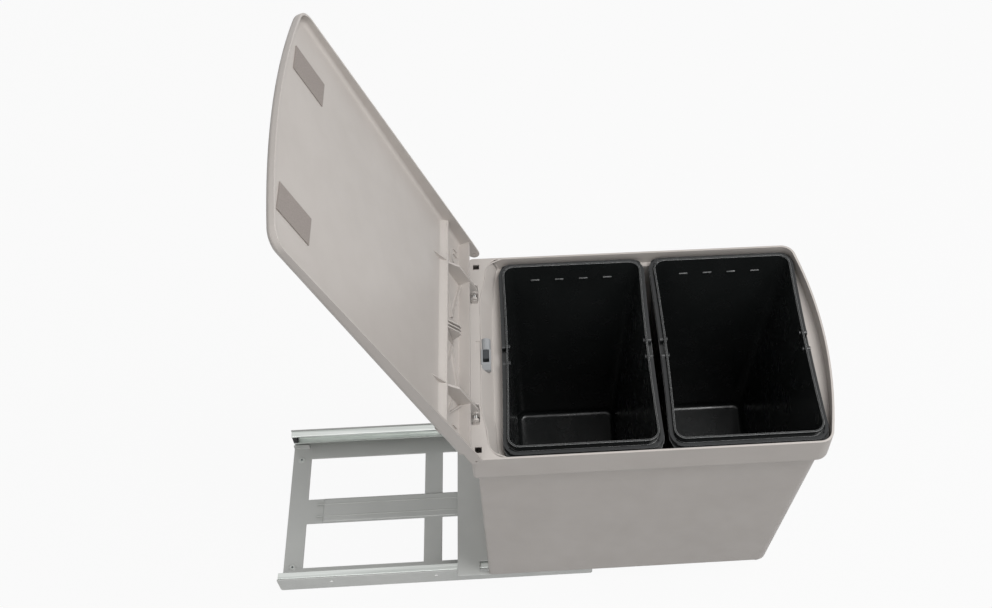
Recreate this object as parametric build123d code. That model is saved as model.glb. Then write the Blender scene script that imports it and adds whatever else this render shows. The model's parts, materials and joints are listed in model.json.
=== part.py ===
from build123d import *
import os

# Pull-out waste bin unit for a kitchen base cabinet: a steel base frame with ball-bearing slides,
# a carriage that carries a plastic tub with a hinged lid, and two lift-out bins with handles.
# Millimetres. X is across the cabinet, -Y is the way that the tub pulls out, +Z is up.
# The origin is the centre of the base frame, on the cabinet floor. The tub stands pulled out
# and its lid stands open. Left is the -X side, as seen from in front of the cabinet.

# ---- driving dimensions ----

# base frame, a pan bent up from sheet steel
FRAME_LENGTH = 452
FRAME_WIDTH = 250
FRAME_SHEET = 2.0
FLANGE_HEIGHT = 36
FLANGE_CORNER = 8
FRAME_BEND = 3.2
WINDOW_EDGE = 92
REAR_CROSS = 28
MID_CROSS = 27
FRONT_CROSS = 42
REAR_WINDOW = 177
SPINE_WIDTH = 40
SPINE_HEIGHT = 5
SPINE_ROUND = 3
SPINE_START = 24
FLOOR_HOLE_DIAMETER = 5.2
FLOOR_HOLE_SPACING = 180
FLOOR_HOLE_INSET = 13
DIMPLE_DIAMETER = 12
TAB_LENGTH = 24
TAB_HEIGHT = 10

# ball-bearing slides
RAIL_LENGTH = 450
RAIL_HEIGHT = 24
RAIL_DEPTH = 10
RAIL_SHEET = 1.2
RAIL_LIP = 2.2
INNER_RAIL_LENGTH = 400
INNER_RAIL_DEPTH = 6.9
BALL_DIAMETER = 3.0
BALL_PLAY = 0.05
BALLS_PER_ROW = 5
CAGE_LENGTH = 160
CAGE_SHEET = 0.8
CAGE_HOLE_PLAY = 0.1
RIVET_DIAMETER = 4.0
RIVET_HEAD = 7.0
RIVET_HEAD_HEIGHT = 1.0
RIVETS_PER_RAIL = 3
RIVET_PITCH = 150
END_STOP_LENGTH = 6
RUNNING_GAP = 0.3
RAIL_MOUTH_GAP = 0.5

# carriage
PULL_OUT = 250
CARRIAGE_SHEET = 2.0
CARRIAGE_INSET = 0.7
CARRIAGE_REAR = -32
CARRIAGE_GAP = 2.0
CARRIAGE_LIP = 3.5
BRACKET_SHEET = 1.5
BRACKET_LEG = 16
SLOT_WIDTH = 16
SLOT_LENGTH = 26
SLOT_INSET = 5
SLOT_START = 32
TUB_SCREW = 4.0
TUB_SCREW_HEAD = 9.0
TUB_SCREW_HEAD_HEIGHT = 2.5
TUB_SCREW_X = 85
TUB_SCREW_INSET = 40

# tub
TUB_HEIGHT = 400
TUB_WIDTH = 305
TUB_REAR = -76
TUB_FRONT = -506.5
TUB_BOW = 19
TUB_CORNER = 18
REAR_CORNER = 5
TUB_WALL = 2.5
COLLAR_HEIGHT = 42
LEDGE_DEPTH = 20
LEDGE_WIDTH = 6.5
LEDGE_OVERLAP = 4
LEDGE_CORNER = 15
FOOT_INSET = 16.8
FOOT_REAR = -77
FOOT_FRONT = -475
FOOT_BOW = 15
FOOT_CORNER = 14
DECK_DEPTH = 14
DECK_FLARE = 30
DECK_FLARE_START = 84
DECK_SLOPE_RUN = 17
SQUARE_HOLE = 8
SQUARE_HOLE_INSET = 14
DECK_RECESS = 1.2

# bins, a pair of the same moulding
BIN_LENGTH = 195
BIN_GAP = 4.5
BIN_SIDE_PLAY = 2.0
BIN_REAR_PLAY = 6.0
BIN_WALL = 2.0
BIN_FLANGE = 10.5
BIN_FLANGE_THICKNESS = 2.5
BIN_SKIRT = 7.0
BIN_LIP_HEIGHT = 13
BIN_WAIST = 2.5
BIN_CORNER = 15
BIN_FLOOR_Z = 48
BIN_FLOOR_ROUND = 9
BIN_SIDE_DRAFT = 12.5
BIN_REAR_DRAFT = 7
BIN_FRONT_DRAFT = 27
BIN_LUGS = 4
BIN_LUG_PITCH = 30
BIN_LUG_SIZE = (2.0, 10, 1.5)
BIN_LUG_DROP = 28

# bin handles
HANDLE_BAR = 4.5
HANDLE_PIVOT_X = 12.5
HANDLE_PIN = 4.0
HANDLE_HUB = 6.5
HANDLE_PIVOT_RISE = 6
HANDLE_PLAY = 0.05
HANDLE_SEAT = 0.3
HANDLE_HEAD = 6.0
HANDLE_HEAD_LENGTH = 1.5

# lid and hinge
HINGE_INSET = 7
HINGE_RISE = 6.5
LID_OPEN = 111
LID_WALL = 2.4
LID_SIDE_GAP = 3.1
LID_FRONT_GAP = 1.6
LID_SKIN_REAR = 13.7
LID_SKIN_FRONT = 3.5
LID_EDGE = -7.5
LID_ROUND = 7
LID_CORNER = 22
LID_REAR = 22.4
EAR_RADIUS = 7
EAR_HOLE = 3
WALL_ONE = 72.5
WALL_ONE_EDGE = 1.6
WALL_ONE_ROUND = 12
WALL_TWO_EDGE = -4.0
RIB = 1.6
CHANNEL_RIB_DEPTH = 4
ARM_X = 91
ARM_THICKNESS = 3
ARM_EDGE = -6
ARM_BEND = 57
ARM_END = 82
HUB_DIAMETER = 9
HUB_WIDTH = 5
TAIL_LENGTH = 9
TAIL_THICKNESS = 3
HINGE_PIN = 4.0
PIN_PLAY = 0.05
PIN_LUG = 3
PIN_LUG_RADIUS = 4
SLOT_HALF = 9.5
SLOT_FRONT_GAP = 4.3
SLOT_DEPTH = 12
BOSS_RIBS = 3
BOSS_PITCH = 6.5
BOSS_X = -8.3
BOSS_LENGTH = 40
PAD_LENGTH = 56
PAD_WIDTH = 33
PAD_THICKNESS = 1.5
PAD_X = 94
PAD_FRONT = 22

# lid catch on the tub's rear deck
CATCH_WIDTH = 12
CATCH_HEIGHT = 9
CATCH_DEPTH = 12
CATCH_PROUD = 1.5
CATCH_WALL = 2.0
CATCH_RAMP = 7
CATCH_SLIDER = 13
CATCH_TRAVEL = 6
CATCH_BARREL = 17

# ---- places worked out from the sizes above ----

frame_rear = FRAME_LENGTH / 2
window_one = (frame_rear - REAR_CROSS, frame_rear - REAR_CROSS - REAR_WINDOW)
window_two = (window_one[1] - MID_CROSS, -frame_rear + FRONT_CROSS)
rail_web_x = FRAME_WIDTH / 2 - FRAME_SHEET
rail_top = FLANGE_HEIGHT
rail_bottom = rail_top - RAIL_HEIGHT
rail_middle = (rail_top + rail_bottom) / 2
ball_radius = BALL_DIAMETER / 2
inner_half_height = RAIL_HEIGHT / 2 - RAIL_SHEET - BALL_DIAMETER - 2 * BALL_PLAY
inner_web_x = rail_web_x - RAIL_DEPTH - RAIL_MOUTH_GAP
inner_rail_rear = RAIL_LENGTH / 2 - END_STOP_LENGTH - RUNNING_GAP - PULL_OUT
cage_middle = (inner_rail_rear - RAIL_LENGTH / 2) / 2
plate_bottom = FLANGE_HEIGHT + CARRIAGE_GAP
plate_top = plate_bottom + CARRIAGE_SHEET
tub_bottom = plate_top
ledge_z = TUB_HEIGHT - LEDGE_DEPTH
collar_z = TUB_HEIGHT - COLLAR_HEIGHT
ledge_inner = TUB_WALL + LEDGE_WIDTH
foot_width = TUB_WIDTH - 2 * FOOT_INSET
carriage_width = foot_width - 2 * CARRIAGE_INSET
deck_front = TUB_REAR - DECK_DEPTH
bin_width = TUB_WIDTH - 2 * (TUB_WALL + BIN_SIDE_PLAY)
bin_flange_z = ledge_z + BIN_SKIRT
lip_z = bin_flange_z + BIN_LIP_HEIGHT
bin_rear_y = deck_front - DECK_SLOPE_RUN - BIN_REAR_PLAY
bin_places = (bin_rear_y, bin_rear_y - BIN_LENGTH - BIN_GAP)
pivot_z = bin_flange_z + HANDLE_PIVOT_RISE
hinge_y = TUB_REAR - HINGE_INSET
hinge_z = TUB_HEIGHT + HINGE_RISE
lid_half = TUB_WIDTH / 2 + LID_SIDE_GAP + LID_WALL
lid_front = TUB_FRONT - LID_FRONT_GAP - LID_WALL
lid_length = hinge_y - lid_front
lid_reach = lid_length + TUB_BOW
lid_slope = (LID_SKIN_FRONT - LID_SKIN_REAR) / lid_reach
slot_front = hinge_y - SLOT_FRONT_GAP
catch_y = deck_front - CATCH_WIDTH / 2
catch_slot = CATCH_SLIDER + CATCH_TRAVEL + 2 * RUNNING_GAP
catch_length = CATCH_RAMP + catch_slot + CATCH_BARREL
SIDES = {"left": -1, "right": 1}


# ---- outlines that several pieces share ----

def bowed_plan(half_width, rear, front, bow, front_radius, rear_radius):
    """A plan outline with straight sides, a bowed front and rounded corners."""
    edges = [
        Line((-half_width, rear), (half_width, rear)),
        Line((half_width, rear), (half_width, front)),
        ThreePointArc((half_width, front), (0, front - bow), (-half_width, front)),
        Line((-half_width, front), (-half_width, rear)),
    ]
    plan = make_face(Curve() + edges)
    corners = plan.vertices().sort_by(Axis.Y)
    plan = fillet(corners[:2], front_radius)
    return fillet(plan.vertices().sort_by(Axis.Y)[-2:], rear_radius)


def collar_plan(inset):
    """The tub's rim outline, drawn in by inset all round."""
    return bowed_plan(TUB_WIDTH / 2 - inset, TUB_REAR - inset, TUB_FRONT + inset, TUB_BOW,
                      TUB_CORNER - inset, max(REAR_CORNER - inset, 1))


def foot_plan(inset):
    """The tub's outline at its floor, drawn in by inset all round."""
    return bowed_plan(foot_width / 2 - inset, FOOT_REAR - inset, FOOT_FRONT + inset, FOOT_BOW,
                      FOOT_CORNER - inset, max(REAR_CORNER - inset, 1))


def bin_plan(width, rear, front, radius):
    """A bin's outline at one level; its rear and front sides are drawn in at the middle."""
    half = width / 2
    edges = [
        ThreePointArc((-half, rear), (0, rear - BIN_WAIST), (half, rear)),
        Line((half, rear), (half, front)),
        ThreePointArc((half, front), (0, front + BIN_WAIST), (-half, front)),
        Line((-half, front), (-half, rear)),
    ]
    plan = make_face(Curve() + edges)
    return fillet(plan.vertices(), radius)


def flange_plan(rear, inset, radius):
    """A bin's flange outline, drawn in by inset all round."""
    return bin_plan(bin_width - 2 * inset, rear - inset, rear - BIN_LENGTH + inset, radius)


def block(x0, x1, y0, y1, z0, z1):
    """A plain block between two corners."""
    middle = ((x0 + x1) / 2, (y0 + y1) / 2, (z0 + z1) / 2)
    return Pos(*middle) * Box(abs(x1 - x0), abs(y1 - y0), abs(z1 - z0))


def across(profile, x0, x1):
    """A profile drawn with (y, z) points, extruded along X."""
    return extrude(Plane.YZ.offset(x0) * profile, x1 - x0)


def along(profile, y0, y1):
    """A profile drawn with (x, z) points, extruded along Y."""
    return extrude(Plane.XZ.offset(-y1) * profile, y1 - y0)


def rod_x(x0, x1, y, z, diameter):
    """A round rod along X."""
    return Pos((x0 + x1) / 2, y, z) * Rot(0, 90, 0) * Cylinder(diameter / 2, x1 - x0)


def rod_y(x, y0, y1, z, diameter):
    """A round rod along Y."""
    return Pos(x, (y0 + y1) / 2, z) * Rot(90, 0, 0) * Cylinder(diameter / 2, y1 - y0)


def mirrored(piece, side):
    """The piece as drawn for the right side, or its mirror image for the left side."""
    return piece if side > 0 else mirror(piece, Plane.YZ)


# ---- base frame ----

def base_frame():
    half = FRAME_WIDTH / 2
    outer = Polyline((-half, FLANGE_HEIGHT), (-half, 0), (half, 0), (half, FLANGE_HEIGHT), close=True)
    outer = make_face(outer)
    outer = fillet(outer.vertices().sort_by(Axis.Y)[:2], FRAME_BEND)
    inner_half = half - FRAME_SHEET
    inner = make_face(Polyline((-inner_half, FLANGE_HEIGHT + 1), (-inner_half, FRAME_SHEET),
                               (inner_half, FRAME_SHEET), (inner_half, FLANGE_HEIGHT + 1), close=True))
    inner = fillet(inner.vertices().sort_by(Axis.Y)[:2], FRAME_BEND - FRAME_SHEET)
    frame = along(outer - inner, -frame_rear, frame_rear)
    frame -= window_cutters()
    frame -= flange_corner_cutters()
    frame += spine()
    frame -= spine_hollow()
    for x, y in floor_hole_places():
        frame += Pos(x, y, FRAME_SHEET) * Cone(DIMPLE_DIAMETER / 2, DIMPLE_DIAMETER / 2 - 2, 1.2,
                                               align=(Align.CENTER, Align.CENTER, Align.MIN))
        frame -= Pos(x, y, FRAME_SHEET) * Cylinder(FLOOR_HOLE_DIAMETER / 2, 4 * FRAME_SHEET)
    for side in SIDES.values():
        tab_x = rail_web_x - RAIL_DEPTH - FRAME_SHEET
        tab = block(tab_x, tab_x + FRAME_SHEET, frame_rear - TAB_LENGTH, frame_rear, FRAME_SHEET / 2,
                    TAB_HEIGHT)
        frame += mirrored(tab, side)
        for y in cabinet_rivet_places():
            frame -= mirrored(rod_x(half - 2 * FRAME_SHEET, half + 1, y, rail_middle, RIVET_DIAMETER), side)
    return frame


def window_cutters():
    cutters = Part()
    for rear, front in (window_one, window_two):
        for side in SIDES.values():
            window = block(SPINE_WIDTH / 2, WINDOW_EDGE, front, rear, -1, FRAME_SHEET + 1)
            cutters += mirrored(window, side)
    return cutters


def flange_corner_cutters():
    """What rounds the lower corner at each end of a flange."""
    cutters = Part()
    for end in (-1, 1):
        corner = make_face(Polyline((end * frame_rear, 0), (end * (frame_rear - FLANGE_CORNER), 0),
                                    (end * frame_rear, FLANGE_CORNER), close=True))
        bulge = Pos(end * (frame_rear - FLANGE_CORNER), FLANGE_CORNER) * Circle(FLANGE_CORNER)
        for side in SIDES.values():
            cutters += mirrored(across(corner - bulge, rail_web_x, FRAME_WIDTH / 2 + 1), side)
    return cutters


def spine_box(inset):
    rear = window_one[0] - SPINE_START
    front = window_two[1]
    return block(-SPINE_WIDTH / 2 + inset, SPINE_WIDTH / 2 - inset, front + inset, rear - inset,
                 0 if inset == 0 else -1, SPINE_HEIGHT - inset)


def spine():
    solid = spine_box(0)
    top = solid.faces().sort_by(Axis.Z)[-1]
    return fillet(top.edges(), SPINE_ROUND)


def spine_hollow():
    solid = spine_box(FRAME_SHEET)
    top = solid.faces().sort_by(Axis.Z)[-1]
    return fillet(top.edges(), SPINE_ROUND - FRAME_SHEET)


def floor_hole_places():
    reach = frame_rear - FLOOR_HOLE_INSET
    return [(side * FLOOR_HOLE_SPACING / 2, y) for y in (reach, -reach) for side in (-1, 1)]


# ---- slides ----

def rivet_places(middle):
    first = middle - RIVET_PITCH * (RIVETS_PER_RAIL - 1) / 2
    return [first + RIVET_PITCH * i for i in range(RIVETS_PER_RAIL)]


def cabinet_rivet_places():
    return rivet_places(0)


def carriage_rivet_places():
    return rivet_places(inner_rail_rear - INNER_RAIL_LENGTH / 2)


def cabinet_rail():
    """The fixed member: a C with its open side towards the middle and its lips turned in."""
    web, open_x = rail_web_x, rail_web_x - RAIL_DEPTH
    half = RAIL_HEIGHT / 2
    outer = Pos((web + open_x) / 2, rail_middle) * RectangleRounded(RAIL_DEPTH, RAIL_HEIGHT, 1.5)
    hollow = Pos((web + open_x) / 2, rail_middle) * Rectangle(RAIL_DEPTH - 2 * RAIL_SHEET,
                                                              RAIL_HEIGHT - 2 * RAIL_SHEET)
    mouth = Pos(open_x, rail_middle) * Rectangle(4 * RAIL_SHEET, 2 * (half - RAIL_SHEET - RAIL_LIP))
    rail = along(outer - hollow - mouth, -RAIL_LENGTH / 2, RAIL_LENGTH / 2)
    for y in cabinet_rivet_places():
        rail -= rod_x(web - 2 * RAIL_SHEET, web + 1, y, rail_middle, RIVET_DIAMETER)
    return rail


def cabinet_rail_rivets():
    rivets = []
    for side in SIDES.values():
        for y in cabinet_rivet_places():
            shank = rod_x(rail_web_x - RAIL_SHEET, FRAME_WIDTH / 2, y, rail_middle, RIVET_DIAMETER)
            head = rod_x(rail_web_x - RAIL_SHEET - RIVET_HEAD_HEIGHT, rail_web_x - RAIL_SHEET, y,
                         rail_middle, RIVET_HEAD)
            rivets.append(mirrored(shank + head, side))
    return rivets


def carriage_rail():
    """The moving member: a smaller C, back to back with its bracket, that runs between the balls."""
    web, arm_x = inner_web_x, inner_web_x + INNER_RAIL_DEPTH
    outer = Pos((web + arm_x) / 2, rail_middle) * Rectangle(INNER_RAIL_DEPTH, 2 * inner_half_height)
    hollow = Pos((web + arm_x) / 2 + RAIL_SHEET, rail_middle) * Rectangle(
        INNER_RAIL_DEPTH, 2 * (inner_half_height - RAIL_SHEET))
    rail = along(outer - hollow, inner_rail_rear - INNER_RAIL_LENGTH, inner_rail_rear)
    for y in carriage_rivet_places():
        rail -= rod_x(web - 1, web + 2 * RAIL_SHEET, y, rail_middle, RIVET_DIAMETER)
    return rail


def ball_x():
    return rail_web_x - RAIL_DEPTH / 2


def ball_rows():
    reach = RAIL_HEIGHT / 2 - RAIL_SHEET - BALL_PLAY - ball_radius
    return (rail_middle + reach, rail_middle - reach)


def ball_places():
    pitch = CAGE_LENGTH / BALLS_PER_ROW
    first = cage_middle - CAGE_LENGTH / 2 + pitch / 2
    return [(first + pitch * i, z) for i in range(BALLS_PER_ROW) for z in ball_rows()]


def ball_cage():
    """A thin channel inside the fixed member, with a hole round each ball."""
    reach = ball_rows()[0] - rail_middle + CAGE_SHEET / 2
    web = rail_web_x - RAIL_SHEET - RIVET_HEAD_HEIGHT - RUNNING_GAP
    open_x = ball_x() - ball_radius - CAGE_HOLE_PLAY - 0.6
    outer = Pos((web + open_x) / 2, rail_middle) * Rectangle(web - open_x, 2 * reach)
    hollow = Pos((web + open_x) / 2 - CAGE_SHEET, rail_middle) * Rectangle(
        web - open_x, 2 * (reach - CAGE_SHEET))
    cage = along(outer - hollow, cage_middle - CAGE_LENGTH / 2, cage_middle + CAGE_LENGTH / 2)
    hole_diameter = BALL_DIAMETER + 2 * CAGE_HOLE_PLAY
    for y, z in ball_places():
        cage -= Pos(ball_x(), y, z) * Cylinder(hole_diameter / 2, 2 * BALL_DIAMETER)
    return cage


def cage_balls():
    return [Pos(ball_x(), y, z) * Sphere(ball_radius) for y, z in ball_places()]


def end_stop():
    """A moulded buffer in the rear end of the fixed member, which the moving member meets."""
    width = RAIL_DEPTH - 2 * RAIL_SHEET
    height = RAIL_HEIGHT - 2 * RAIL_SHEET
    profile = Pos(rail_web_x - RAIL_DEPTH / 2, rail_middle) * RectangleRounded(width, height, 1)
    rear = RAIL_LENGTH / 2
    return along(profile, rear - END_STOP_LENGTH, rear)


# ---- carriage ----

def carriage_plate():
    half = carriage_width / 2
    front = FOOT_FRONT - FOOT_BOW + TUB_WALL
    outline = bowed_plan(half, CARRIAGE_REAR, FOOT_FRONT + TUB_WALL, FOOT_BOW, FOOT_CORNER, 2)
    plate = extrude(Pos(0, 0, plate_bottom) * outline, CARRIAGE_SHEET)
    inner = bowed_plan(half - CARRIAGE_SHEET, CARRIAGE_REAR + 1, FOOT_FRONT + TUB_WALL + CARRIAGE_SHEET,
                       FOOT_BOW, FOOT_CORNER - CARRIAGE_SHEET, 2)
    lip = extrude(Pos(0, 0, plate_top - CARRIAGE_LIP) * (outline - inner), CARRIAGE_LIP)
    lip &= block(-half, half, front - 1, FOOT_FRONT + FOOT_CORNER, 0, plate_top)
    plate += lip
    slot = block(half - SLOT_INSET - SLOT_WIDTH, half - SLOT_INSET, CARRIAGE_REAR - SLOT_START - SLOT_LENGTH,
                 CARRIAGE_REAR - SLOT_START, plate_bottom - 1, plate_top + 1)
    for side in SIDES.values():
        plate -= mirrored(slot, side)
    for x, y in tub_screw_places():
        plate -= Pos(x, y, plate_top) * Cylinder(TUB_SCREW / 2, 4 * CARRIAGE_SHEET)
    return plate


def carriage_bracket():
    """The angle under the plate that holds the moving member of one slide."""
    face_x = inner_web_x
    bottom = rail_middle - inner_half_height
    points = [(face_x, bottom), (face_x, plate_bottom), (face_x - BRACKET_LEG, plate_bottom),
              (face_x - BRACKET_LEG, plate_bottom - BRACKET_SHEET),
              (face_x - BRACKET_SHEET, plate_bottom - BRACKET_SHEET), (face_x - BRACKET_SHEET, bottom)]
    profile = make_face(Polyline(*points, close=True))
    bracket = along(profile, inner_rail_rear - INNER_RAIL_LENGTH, inner_rail_rear - 2 * BRACKET_SHEET)
    for y in carriage_rivet_places():
        bracket -= rod_x(face_x - 2 * BRACKET_SHEET, face_x + 1, y, rail_middle, RIVET_DIAMETER)
    return bracket


def carriage_rail_rivets():
    rivets = []
    for side in SIDES.values():
        for y in carriage_rivet_places():
            inner = inner_web_x + RAIL_SHEET
            shank = rod_x(inner_web_x - BRACKET_SHEET, inner, y, rail_middle, RIVET_DIAMETER)
            head = rod_x(inner, inner + RIVET_HEAD_HEIGHT, y, rail_middle, RIVET_HEAD)
            rivets.append(mirrored(shank + head, side))
    return rivets


def tub_screw_places():
    rear = FOOT_REAR - TUB_SCREW_INSET
    front = FOOT_FRONT + TUB_SCREW_INSET
    return [(side * TUB_SCREW_X, y) for y in (rear, front) for side in (-1, 1)]


def tub_screws():
    """Four pan-head screws that come up through the plate into the tub's floor."""
    screws = []
    for x, y in tub_screw_places():
        head = Pos(x, y, plate_bottom) * Cylinder(TUB_SCREW_HEAD / 2, TUB_SCREW_HEAD_HEIGHT,
                                                  align=(Align.CENTER, Align.CENTER, Align.MAX))
        head = fillet(head.faces().sort_by(Axis.Z)[0].edges(), TUB_SCREW_HEAD_HEIGHT / 2)
        shank = Pos(x, y, plate_bottom) * Cylinder(TUB_SCREW / 2, CARRIAGE_SHEET + TUB_WALL,
                                                   align=(Align.CENTER, Align.CENTER, Align.MIN))
        screws.append(head + shank)
    return screws


# ---- tub ----

def tub():
    """A tapered shell with a deep collar round its rim, an inner ledge and a rear deck."""
    outer = loft([Pos(0, 0, tub_bottom) * foot_plan(0), Pos(0, 0, ledge_z) * collar_plan(LEDGE_WIDTH)])
    inner = loft([Pos(0, 0, tub_bottom + TUB_WALL) * foot_plan(TUB_WALL),
                  Pos(0, 0, ledge_z) * collar_plan(ledge_inner)])
    collar = extrude(Pos(0, 0, collar_z) * (collar_plan(0) - collar_plan(TUB_WALL)), COLLAR_HEIGHT)
    ledge = collar_plan(TUB_WALL / 2) - ledge_opening()
    shell = outer - inner
    shell += extrude(Pos(0, 0, ledge_z - TUB_WALL) * ledge, TUB_WALL)
    shell += collar
    shell += deck()
    shell -= deck_cutters()
    for x, y in tub_screw_places():
        shell -= Pos(x, y, tub_bottom) * Cylinder(TUB_SCREW / 2, 4 * TUB_WALL)
    return shell


def ledge_opening():
    """The straight-sided opening that the bins hang in; their flanges lie over its edges."""
    rear = bin_rear_y - LEDGE_OVERLAP
    front = bin_places[1] - BIN_LENGTH + LEDGE_OVERLAP
    width = TUB_WIDTH - 2 * ledge_inner
    return Pos(0, (rear + front) / 2) * RectangleRounded(width, rear - front, LEDGE_CORNER)


def deck_plan(front_line, flare, inset):
    """The deck's outline: straight in the middle of its front edge, swung forward to run into the sides."""
    half = TUB_WIDTH / 2 - inset
    rear = TUB_REAR - inset
    front = front_line + inset
    start = min(DECK_FLARE_START, half - 60)
    reach = half - start
    right = [(half, front - flare), (half - reach * 0.18, front - flare * 0.37),
             (start + reach * 0.4, front - flare * 0.18), (start, front)]
    left = [(-x, y) for x, y in reversed(right)]
    edges = [
        Line((-half, rear), (half, rear)),
        Line((half, rear), (half, front - flare)),
        Spline(*right, tangents=[(0, 1), (-1, 0.2)]),
        Line((start, front), (-start, front)),
        Spline(*left, tangents=[(-1, -0.2), (0, -1)]),
        Line((-half, front - flare), (-half, rear)),
    ]
    return make_face(Curve() + edges)


def deck():
    """The closed strip behind the bins, with a front wall that slopes down to the ledge."""
    low_front, low_flare = deck_front - DECK_SLOPE_RUN, DECK_FLARE - DECK_SLOPE_RUN
    inset = TUB_WALL / 2
    outer = loft([Pos(0, 0, ledge_z - TUB_WALL) * deck_plan(low_front, low_flare, inset),
                  Pos(0, 0, TUB_HEIGHT) * deck_plan(deck_front, DECK_FLARE, inset)])
    hollow = loft([Pos(0, 0, ledge_z - 2 * TUB_WALL) * deck_plan(low_front, low_flare, inset + TUB_WALL),
                   Pos(0, 0, TUB_HEIGHT - TUB_WALL) * deck_plan(deck_front, DECK_FLARE, inset + TUB_WALL)])
    strip = outer - hollow
    for side in SIDES.values():
        strip += mirrored(pin_lugs(), side)
    return strip


def slot_edges():
    """The two X places of a hinge slot's ends."""
    return (ARM_X - SLOT_HALF, ARM_X + SLOT_HALF)


def pin_lugs():
    """Two lugs that stand on the deck, one at each end of a hinge slot, and hold the hinge pin."""
    inner, outer = slot_edges()
    stem = make_face(Polyline((hinge_y - PIN_LUG_RADIUS, TUB_HEIGHT - TUB_WALL), (hinge_y + PIN_LUG_RADIUS,
                              TUB_HEIGHT - TUB_WALL), (hinge_y + PIN_LUG_RADIUS, hinge_z),
                              (hinge_y - PIN_LUG_RADIUS, hinge_z), close=True))
    profile = stem + Pos(hinge_y, hinge_z) * Circle(PIN_LUG_RADIUS)
    return across(profile, inner - PIN_LUG, inner) + across(profile, outer, outer + PIN_LUG)


def deck_cutters():
    """Hinge slots, pin holes, the two square holes, and the catch's seat and finger recess."""
    cutters = Part()
    inner, outer = slot_edges()
    hole_x = TUB_WIDTH / 2 - SQUARE_HOLE_INSET
    hole_y = (TUB_REAR + deck_front) / 2 - SQUARE_HOLE / 4
    for side in SIDES.values():
        slot = block(inner, outer, slot_front, TUB_REAR + 1, hinge_z - SLOT_DEPTH, hinge_z)
        pin_hole = rod_x(inner - PIN_LUG, outer + PIN_LUG, hinge_y, hinge_z, HINGE_PIN)
        square = block(hole_x - SQUARE_HOLE / 2, hole_x + SQUARE_HOLE / 2, hole_y - SQUARE_HOLE / 2,
                       hole_y + SQUARE_HOLE / 2, TUB_HEIGHT - 2 * TUB_WALL, TUB_HEIGHT + 1)
        cutters += mirrored(slot + pin_hole + square, side)
    recess_x = catch_length / 2 - CATCH_BARREL
    recess = block(recess_x, recess_x + CATCH_BARREL * 0.8, deck_front, hinge_y, TUB_HEIGHT - DECK_RECESS,
                   TUB_HEIGHT + 1)
    return cutters + recess + catch_envelope()


def hinge_pin():
    inner, outer = slot_edges()
    return rod_x(inner - PIN_LUG, outer + PIN_LUG, hinge_y, hinge_z, HINGE_PIN)


# ---- bins and their handles ----

def waste_bin(rear):
    """A tapered bucket that hangs by its flange: a skirt below, a pivot lip above, lugs inside."""
    lip_rear, lip_front = rear - BIN_FLANGE, rear - BIN_LENGTH + BIN_FLANGE
    floor_rear, floor_front = lip_rear - BIN_REAR_DRAFT, lip_front + BIN_FRONT_DRAFT
    top_width = bin_width - 2 * BIN_FLANGE
    floor_width = top_width - 2 * BIN_SIDE_DRAFT

    def bucket(inset, floor_z):
        low = bin_plan(floor_width - 2 * inset, floor_rear - inset, floor_front + inset, BIN_CORNER - inset)
        high = bin_plan(top_width - 2 * inset, lip_rear - inset, lip_front + inset, BIN_CORNER - inset)
        solid = loft([Pos(0, 0, floor_z) * low, Pos(0, 0, lip_z) * high])
        return fillet(solid.faces().sort_by(Axis.Z)[0].edges(), BIN_FLOOR_ROUND - inset)

    outer_corner = BIN_CORNER + BIN_FLANGE / 2
    flange = extrude(Pos(0, 0, bin_flange_z) * flange_plan(rear, 0, outer_corner), BIN_FLANGE_THICKNESS)
    skirt_plan = flange_plan(rear, 0, outer_corner) - flange_plan(rear, BIN_WALL, outer_corner - BIN_WALL)
    skirt = extrude(Pos(0, 0, ledge_z) * skirt_plan, BIN_SKIRT + BIN_FLANGE_THICKNESS / 2)
    shell = bucket(0, BIN_FLOOR_Z) + flange + skirt - bucket(BIN_WALL, BIN_FLOOR_Z + BIN_WALL)
    lug_z = lip_z - BIN_LUG_DROP
    lug_x = top_width / 2 - BIN_WALL - BIN_SIDE_DRAFT * BIN_LUG_DROP / (lip_z - BIN_FLOOR_Z)
    for i in range(BIN_LUGS):
        lug_y = rear - BIN_LENGTH / 2 + BIN_LUG_PITCH * (i - (BIN_LUGS - 1) / 2)
        lug = Pos(lug_x, lug_y, lug_z) * Box(*BIN_LUG_SIZE)
        for side in SIDES.values():
            shell += mirrored(lug, side)
    for x in (-HANDLE_PIVOT_X, HANDLE_PIVOT_X):
        shell -= rod_y(x, rear - BIN_LENGTH, rear, pivot_z, HANDLE_PIN + 2 * HANDLE_PLAY)
    return shell


def bin_handle(rear):
    """The right-hand handle of a bin: a U-shaped bar with a pin through the bin's wall at each end."""
    outer_inset = (BIN_FLANGE - HANDLE_BAR) / 2
    inner_inset = outer_inset + HANDLE_BAR
    corner = BIN_CORNER + BIN_FLANGE / 2
    ring = flange_plan(rear, outer_inset, corner) - flange_plan(rear, inner_inset, corner - HANDLE_BAR)
    bar_z = bin_flange_z + BIN_FLANGE_THICKNESS + HANDLE_SEAT
    bar = extrude(Pos(0, 0, bar_z) * ring, HANDLE_BAR)
    handle = bar & block(HANDLE_PIVOT_X, bin_width, rear - BIN_LENGTH, rear, bar_z, bar_z + HANDLE_BAR)
    edge = outer_inset + BIN_WAIST
    for end, y in ((1, rear - edge), (-1, rear - BIN_LENGTH + edge)):
        y_inner = y - end * HANDLE_BAR
        y_end = y - end * (BIN_FLANGE - outer_inset + BIN_WALL + HANDLE_HEAD_LENGTH + 1)
        y_head = y_end + end * HANDLE_HEAD_LENGTH
        for a, b, diameter in ((y, y_inner, HANDLE_HUB), (y, y_end, HANDLE_PIN), (y_head, y_end, HANDLE_HEAD)):
            handle += rod_y(HANDLE_PIVOT_X, min(a, b), max(a, b), pivot_z, diameter)
    return handle


# ---- lid, drawn closed and then turned open about its hinge ----

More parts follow.
